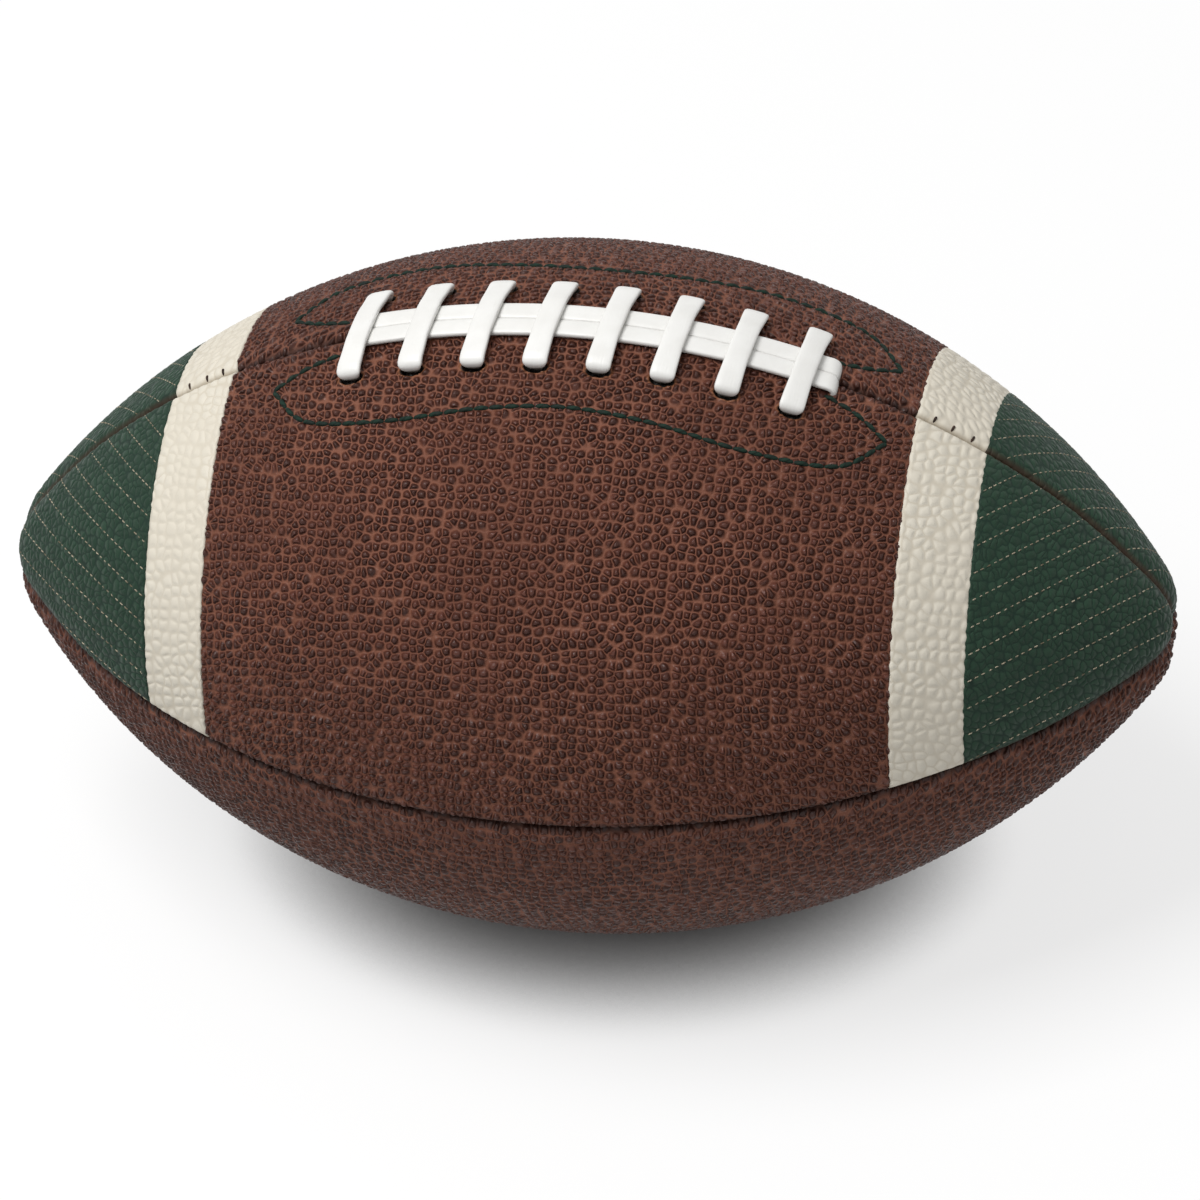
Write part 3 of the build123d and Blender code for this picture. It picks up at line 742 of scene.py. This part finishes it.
def skin(name, quarter, span, grid, tucks, lift):
    """One skin of a panel: a grid of arc length, in a span, by angle, rolled down into the seams.

    Its tucks say how its first and its last rows go down: under the next skin, as an edge, or not at all.
    """
    rows, columns = grid
    first_turn = math.radians(QUARTERS[quarter])
    share = np.linspace(0, 1, columns)
    share = share - EDGE_CLUSTER * np.sin(2 * math.pi * share) / (2 * math.pi)
    share = np.repeat(share[None, :], rows, 0)
    length = np.repeat(np.linspace(*span, rows)[:, None], columns, 1)
    if tucks[0] == "edge":
        length[0] += edge_jag(share[0], quarter)
        length[1] = length[0] + EDGE_STEP
    turn = share * math.pi / 2
    along, radius, _ = meridian(length)
    rise = np.stack([radius * np.sin(turn), radius * np.cos(turn)])
    edge = rise.min(0)
    sink = seam_roll(along, rise) - lift
    for tuck, row in zip(tucks, (0, -1)):
        if tuck == "under":
            sink = sink + TUCK_DEPTH * (1 - smooth_step(*TUCK_RAMP, np.abs(length - length[row])))
        if tuck == "edge":
            sink[row] += TUCK_DEPTH
    point, normal = on_ball(length, first_turn + turn)
    if quarter.startswith("upper"):
        side = 1 if quarter == "upper_front" else -1
        dent, hole, relief = lacing_dents(length, first_turn + turn, point, side)
    elif quarter == "lower_back":
        dent, hole, relief = valve_dent(point)
    else:
        dent, hole, relief = 0, np.zeros_like(length), np.ones_like(length)
    relief = relief * smooth_step(*SEAM_SMOOTH_RAMP, edge)
    if tucks[0] == "edge":
        relief[:2] = 0
    point = point - normal * (sink + dent)[..., None]
    grain = grain_places(length, share, radius, first_turn)
    return mesh_object(
        name, point, grid_faces(rows, columns), grain=grain.reshape(-1, 3), edge=edge.ravel(),
        hole=hole.ravel(), relief=relief.ravel(),
    )


def orient_outwards(piece):
    """Make a skin's faces look away from the ball's middle."""
    face = piece.data.polygons[len(piece.data.polygons) // 2]
    if Vector((0, *face.center[1:])).dot(face.normal) < 0:
        piece.data.flip_normals()


def emboss(piece, look):
    """Raise the grain of a skin as real relief and keep the result as its mesh."""
    tree = bpy.data.node_groups.new(piece.name + "_relief", "GeometryNodeTree")
    tree.interface.new_socket("Geometry", in_out="INPUT", socket_type="NodeSocketGeometry")
    tree.interface.new_socket("Geometry", in_out="OUTPUT", socket_type="NodeSocketGeometry")
    source = tree.nodes.new("NodeGroupInput")
    result = tree.nodes.new("NodeGroupOutput")
    grain = wire(tree, "GeometryNodeInputNamedAttribute", {"Name": "grain"}, data_type="FLOAT_VECTOR")
    share = wire(tree, "GeometryNodeInputNamedAttribute", {"Name": "relief"}, data_type="FLOAT")
    valley, middle, _ = pebbles(tree, grain.outputs["Attribute"], look)
    rise = math_node(tree, "SUBTRACT", dome(tree, valley, middle, look), RELIEF_LEVEL)
    rise = math_node(tree, "MULTIPLY", rise, share.outputs["Attribute"])
    rise = math_node(tree, "MULTIPLY", rise, look["height"] * MM)
    normal = tree.nodes.new("GeometryNodeInputNormal").outputs[0]
    inputs = {"Geometry": source.outputs[0], "Offset": scaled(tree, normal, rise)}
    moved = wire(tree, "GeometryNodeSetPosition", inputs)
    tree.links.new(moved.outputs[0], result.inputs[0])
    modifier = piece.modifiers.new("relief", "NODES")
    modifier.node_group = tree
    graph = bpy.context.evaluated_depsgraph_get()
    raised = piece.evaluated_get(graph)
    mesh = bpy.data.meshes.new_from_object(raised, preserve_all_data_layers=True, depsgraph=graph)
    piece.modifiers.clear()
    piece.data = mesh
    bpy.data.node_groups.remove(tree)


def cover_piece(name, node, quarter, look, span, grid, tucks):
    """One embossed skin of the cover, in place of its node."""
    values = LOOKS[look]
    piece = skin(name, quarter, span, grid, tucks, values["lift"])
    orient_outwards(piece)
    emboss(piece, values)
    finish_piece(piece, look, values["slot"], node)


def build_cover():
    """The four panels with their stripes and end patches."""
    tip = TIP_LENGTH - TIP_GAP
    edges = (STRIPE_START + TUCK, STRIPE_START, STRIPE_END + TUCK, STRIPE_END)
    panel_end, stripe_start, stripe_end, patch_start = (float(arc_length(edge)) for edge in edges)
    for quarter in QUARTERS:
        level, face = quarter.split("_")
        panel = ("cover_" + quarter, "panel_" + quarter, quarter, "brown")
        if level == "lower":
            cover_piece(*panel, (-tip, tip), LOWER_GRID, (None, None))
            continue
        cover_piece(*panel, (-panel_end, panel_end), UPPER_GRID, ("under", "under"))
        for end, side in ENDS.items():
            place = f"{end}_{face}"
            stripe = ("stripe_skin_" + place, "stripe_" + place, quarter, "cream")
            cover_piece(*stripe, (side * stripe_start, side * stripe_end), STRIPE_GRID, ("edge", "under"))
            patch = ("patch_skin_" + place, "end_patch_" + place, quarter, "green")
            cover_piece(*patch, (side * patch_start, side * tip), PATCH_GRID, ("edge", None))


# Lace
def lace_section(half_width, half_thickness):
    """A rounded flat section: its width first, then its thickness."""
    turn = np.linspace(0, 2 * math.pi, LACE_SIDES, endpoint=False)
    power = 2 / LACE_SQUARENESS
    across = half_width[:, None] * np.sign(np.cos(turn)) * np.abs(np.cos(turn)) ** power
    up = half_thickness[:, None] * np.sign(np.sin(turn)) * np.abs(np.sin(turn)) ** power
    return across, up


def lace_tube(path, side, half_width, half_thickness, buried):
    """Points, faces and values of a flat lace along a path; side is its width's direction at each point."""
    heading = unit(np.gradient(path, axis=0))
    side = unit(side - heading * (side * heading).sum(1)[:, None])
    up = np.cross(heading, side)
    across, rise = lace_section(half_width, half_thickness)
    points = path[:, None] + across[..., None] * side[:, None] + rise[..., None] * up[:, None]
    grain = np.stack([np.repeat(distances(path)[:, None], LACE_SIDES, 1), across, rise], -1)
    hole = np.repeat(buried[:, None], LACE_SIDES, 1)
    return points.reshape(-1, 3), tube_faces(len(path), LACE_SIDES), grain.reshape(-1, 3), hole.ravel()


def lace_bar(front_length, back_length):
    """One crossbar, from inside its front hole, over the two strands, into its back hole."""
    mirrored = [(-reach, lift) for reach, lift in BAR_ROUTE[::-1]]
    reach, lift = chaikin([*BAR_ROUTE, *mirrored], BAR_ROUNDS).T
    middle = (front_length + back_length) / 2
    slant = (front_length - back_length) / (2 * HOLE_REACH)
    radius = meridian(np.array(middle))[1]
    length = middle + slant * reach
    path = on_ball(length, reach / radius, lift)[0]
    ahead = on_ball(length + BAR_AHEAD, reach / radius, lift)[0] - path
    into = 1 - smooth_step(*BAR_PINCH_RAMP, lift)
    flare = BAR_FLARE / 2 * smooth_step(STRAND_SPACING, HOLE_REACH, np.abs(reach))
    half_width = (BAR_WIDTH / 2 + flare) * (1 - BAR_PINCH * into)
    half_thickness = LACE_THICKNESS / 2 * (1 + BAR_SWELL * into)
    # Share of the bar under the leather, which takes the lace's painted shade
    buried = 1 - smooth_step(*BAR_BURIED_SHADE_RAMP, lift)
    return lace_tube(path, ahead, half_width, half_thickness, buried)


def lace_strand(side):
    """One of the two strands along the slit, tucked in at both ends."""
    inner = np.linspace(STRAND_START + STRAND_MARGIN, STRAND_END - STRAND_MARGIN, STRAND_STEPS)
    route = [*STRAND_FIRST, *((along, LACE_REST) for along in inner), *STRAND_LAST]
    along, lift = chaikin(route, STRAND_ROUNDS).T
    length = arc_length(along)
    across = -side * STRAND_SPACING / 2
    path = on_ball(length, across / meridian(length)[1], lift)[0]
    sideways = np.repeat([[0.0, 1.0, 0.0]], len(path), 0)
    half_width = np.full(len(path), STRAND_WIDTH / 2)
    half_thickness = np.full(len(path), LACE_THICKNESS / 2)
    # Share of the strand under the leather, which takes the lace's painted shade
    buried = 1 - smooth_step(*STRAND_BURIED_SHADE_RAMP, lift)
    return lace_tube(path, sideways, half_width, half_thickness, buried)


def joined(name, parts):
    """One object from several sets of points, faces and values."""
    start, all_faces = 0, []
    for points, faces, _, _ in parts:
        all_faces += [[index + start for index in face] for face in faces]
        start += len(points)
    points, grain, hole = (np.concatenate([part[index] for part in parts]) for index in (0, 2, 3))
    return mesh_object(name, points, all_faces, grain=grain, hole=hole)


def build_lace():
    """The whole lace as one piece."""
    places = bar_places()
    parts = [lace_bar(front, back) for front, back in zip(places[1], places[-1])]
    parts += [lace_strand(side) for side in FACES.values()]
    finish_piece(joined("lace_cord", parts), "lace", "lace_white", "lace")


# Stitches
def stitch_row(name, starts, ends, normals, radius, rise, material, slot, *nodes):
    """Short threads from starts to ends, each arched out of the surface in its middle."""
    share = np.linspace(0, 1, STITCH_STEPS)[None, :, None]
    path = starts[:, None] * (1 - share) + ends[:, None] * share
    bow = np.sin(math.pi * share) ** STITCH_BOW_POWER
    path = path + normals[:, None] * (rise * bow - radius * STITCH_SINK)
    side = np.cross(normals, unit(ends - starts))
    turn = np.linspace(0, 2 * math.pi, STITCH_SIDES, endpoint=False)
    ring = side[:, None, None] * np.cos(turn)[:, None] + normals[:, None, None] * np.sin(turn)[:, None]
    inner_share = np.clip(share, STITCH_END_MARGIN, 1 - STITCH_END_MARGIN)
    fullness = np.sin(math.pi * inner_share) ** STITCH_TAPER_POWER
    taper = radius * (STITCH_END_RADIUS + (1 - STITCH_END_RADIUS) * fullness)
    points = path[:, :, None] + ring * taper[:, :, None]
    count = len(starts)
    one = tube_faces(STITCH_STEPS, STITCH_SIDES)
    size = STITCH_STEPS * STITCH_SIDES
    faces = [[index + number * size for index in face] for number in range(count) for face in one]
    spans = np.linalg.norm(ends - starts, axis=1)[:, None, None]
    along = spans * share + np.arange(count)[:, None, None] * STITCH_GRAIN_SHIFT
    grain = np.stack(np.broadcast_arrays(along, turn[None, None, :], along * 0), -1)
    piece = mesh_object(name, points, faces, grain=grain.reshape(-1, 3))
    return finish_piece(piece, material, slot, *nodes)


def stitches_along(lines, pitch, length):
    """Starts and ends of stitches of one length along lines of points, a pitch apart."""
    starts, ends = [], []
    for line in lines:
        spots = evenly(line, pitch)
        middle = (spots[:-1] + spots[1:]) / 2
        heading = unit(spots[1:] - spots[:-1])
        starts.append(middle - heading * length / 2)
        ends.append(middle + heading * length / 2)
    return np.vstack(starts), np.vstack(ends)


def build_facing_stitches():
    """The dark outline stitched round each lace facing."""
    for face, side in FACES.items():
        lines = [over_plan(line[:, 0], line[:, 1])[0] for line in facing_lines(side)]
        starts, ends = stitches_along(lines, STITCH_PITCH, STITCH_LENGTH)
        middle = (starts + ends) / 2
        normals = over_plan(middle[:, 0], middle[:, 1])[1]
        bed = normals * STITCH_BED
        stitch_row("outline_stitches_" + face, starts - bed, ends - bed, normals, STITCH_RADIUS, STITCH_RISE,
                   "green_thread", "thread_green", "facing_stitch_" + face)


def grip_line(end, side, lean, distance):
    """One row on an end patch: where a leaning plane cuts the skin between the stripe and the seams."""
    turn = np.linspace(0, math.pi / 2, GRIP_TURN_STEPS)
    start = float(arc_length(STRIPE_END + GRIP_STRIPE_MARGIN))
    length = np.linspace(start, TIP_LENGTH, GRIP_LENGTH_STEPS)
    along, radius, _ = meridian(length)
    grid_across = radius[None] * np.sin(turn)[:, None]
    grid_up = radius[None] * np.cos(turn)[:, None]
    gap = along[None] * lean[0] + side * grid_across * lean[1] + grid_up * lean[2] - distance
    crossed = gap[:, :-1] * gap[:, 1:] <= 0
    rows = np.nonzero(crossed.any(1))[0]
    columns = crossed[rows].argmax(1)
    before, after = gap[rows, columns], gap[rows, columns + 1]
    place = length[columns] + (length[columns + 1] - length[columns]) * before / (before - after)
    along, radius, _ = meridian(place)
    across, up = radius * np.sin(turn[rows]), radius * np.cos(turn[rows])
    keep = (across > GRIP_SEAM_MARGIN) & (up > GRIP_SEAM_MARGIN)
    return np.stack([end * along, side * across, up], -1)[keep]


def grip_rows(end_name, face):
    """The rows of fine tan stitching on one end patch, sunk with its rolled edges."""
    end, side = ENDS[end_name], FACES[face]
    lean = np.array(GRIP_LEANS[face]) / np.linalg.norm(GRIP_LEANS[face])
    distance = GRIP_FIRST_ROWS[face] + np.arange(GRIP_ROWS) * GRIP_ROW_PITCH
    lines = [grip_line(end, side, lean, place) for place in distance]
    lines = [line for line in lines if len(line) > GRIP_FEWEST_POINTS]
    starts, ends = stitches_along(lines, GRIP_PITCH, GRIP_LENGTH)
    middle = (starts + ends) / 2
    turn = np.arctan2(-middle[:, 1], middle[:, 2])
    lengths = np.linspace(0, TIP_LENGTH, LENGTH_TABLE_STEPS)
    length = np.interp(np.abs(middle[:, 0]), meridian(lengths)[0], lengths) * end
    normals = on_ball(length, turn)[1]
    rolls = [seam_roll(spots[:, 0], np.abs(spots[:, 1:]).T) for spots in (starts, ends)]
    keep = np.maximum(*rolls) < GRIP_ROLL_LIMIT
    starts, ends = (spots - normals * roll[:, None] for spots, roll in zip((starts, ends), rolls))
    patch = f"{end_name}_{face}"
    stitch_row("grip_rows_" + patch, starts[keep], ends[keep], normals[keep], GRIP_RADIUS, GRIP_RISE,
               "tan_thread", "thread_tan", "grip_stitch_" + patch)


def build_grip_stitches():
    """The stitching on the four end patches."""
    for end_name in ENDS:
        for face in FACES:
            grip_rows(end_name, face)


def build_seam_stitches():
    """The seam thread where it shows on the rolled edge of the upper seam, across the stripes."""
    places = np.array(SEAM_STITCH_PLACES)
    lengths = arc_length(np.r_[-places, places])
    radius = meridian(lengths)[1]
    first, normal = on_ball(lengths, -SEAM_STITCH_FIRST / radius, -SEAM_STITCH_DEPTH)
    last = on_ball(lengths + SEAM_STITCH_LEAN, -SEAM_STITCH_LAST / radius)[0]
    stitch_row("seam_stitches_top", first, last, normal, SEAM_STITCH_RADIUS, SEAM_STITCH_RISE,
               "dark_thread", "thread_dark")


def dress_cad_nodes():
    """Materials for the CAD pieces that keep their own shape."""
    for name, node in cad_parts.items():
        for start, material in CAD_LOOKS.items():
            if name.startswith(start):
                node.data.materials.clear()
                node.data.materials.append(MATERIALS[material])


# Stage, light and camera
def seen_directly(tree):
    """1 for a ray from the camera or a reflection, and 0 for a ray that only carries light."""
    rays = wire(tree, "ShaderNodeLightPath").outputs
    seen = math_node(tree, "MAXIMUM", rays["Is Camera Ray"], rays["Is Glossy Ray"])
    return math_node(tree, "MAXIMUM", seen, rays["Is Transmission Ray"])


def build_stage():
    """A plain pale floor under the ball, part white and part lit paper, with a contact shadow."""
    size = FLOOR_HALF_SIZE
    low = -BELLY_RADIUS - FLOOR_GAP
    corners = [(-size, -size, low), (size, -size, low), (size, size, low), (-size, size, low)]
    floor = mesh_object("floor", corners, [[0, 1, 2, 3]])
    material, tree, shader = new_material("floor_paper")
    seen = seen_directly(tree)
    tree.links.new(mix(tree, seen, FLOOR_PAPER, WHITE), shader.inputs["Base Color"])
    shader.inputs["Roughness"].default_value = 1.0
    shader.inputs["Specular IOR Level"].default_value = 0.0
    contact = wire(tree, "ShaderNodeAmbientOcclusion", {"Distance": CONTACT_REACH * MM}).outputs["AO"]
    white = wire(tree, "ShaderNodeEmission", {"Strength": ramp(tree, contact, *CONTACT_RAMP)}).outputs[0]
    white_share = math_node(tree, "MULTIPLY", seen, FLOOR_WHITE)
    paper = wire(tree, "ShaderNodeMixShader", {0: white_share, 1: shader.outputs[0], 2: white})
    tree.links.new(paper.outputs[0], tree.nodes["Material Output"].inputs["Surface"])
    floor.data.materials.append(material)


def build_light():
    """An even white surround and one large lamp above, to the left and a little to the front."""
    world = bpy.data.worlds.new("studio")
    world.use_nodes = True
    tree = world.node_tree
    tree.nodes["Background"].inputs["Color"].default_value = WHITE
    strength = math_node(tree, "MULTIPLY_ADD", seen_directly(tree), 1 - WORLD_LIGHT, WORLD_LIGHT)
    tree.links.new(strength, tree.nodes["Background"].inputs["Strength"])
    bpy.context.scene.world = world
    light = bpy.data.lights.new("lamp_top", "AREA")
    light.shape = "SQUARE"
    light.size = LAMP_SIZE * MM
    light.energy = LAMP_POWER
    lamp = bpy.data.objects.new("lamp_top", light)
    lamp.location = Vector(LAMP_PLACE) * MM
    lamp.rotation_euler = (-lamp.location).to_track_quat("-Z", "Y").to_euler()
    bpy.context.scene.collection.objects.link(lamp)


def build_camera():
    """The photograph's view."""
    azimuth, elevation, roll = map(math.radians, (CAMERA_AZIMUTH, CAMERA_ELEVATION, CAMERA_ROLL))
    outwards = math.cos(elevation)
    back = Vector((math.sin(azimuth) * outwards, -math.cos(azimuth) * outwards, math.sin(elevation)))
    level = Vector((math.cos(azimuth), math.sin(azimuth), 0))
    upright = back.cross(level)
    right = level * math.cos(roll) + upright * math.sin(roll)
    up = upright * math.cos(roll) - level * math.sin(roll)
    place = back * CAMERA_DISTANCE + right * CAMERA_SIDEWAYS - up * CAMERA_DOWNWARDS
    camera = bpy.data.objects.new("camera", bpy.data.cameras.new("camera"))
    camera.data.lens = CAMERA_LENS
    camera.data.clip_end = CAMERA_FAR * MM
    matrix = Matrix((right, up, back)).transposed().to_4x4()
    matrix.translation = place * MM
    camera.matrix_world = matrix
    bpy.context.scene.collection.objects.link(camera)
    bpy.context.scene.camera = camera


build_camera()
build_stage()
build_light()
build_cover()
build_lace()
build_facing_stitches()
build_grip_stitches()
build_seam_stitches()
dress_cad_nodes()

bpy.context.scene.view_settings.view_transform = "Standard"
bpy.context.view_layer.update()
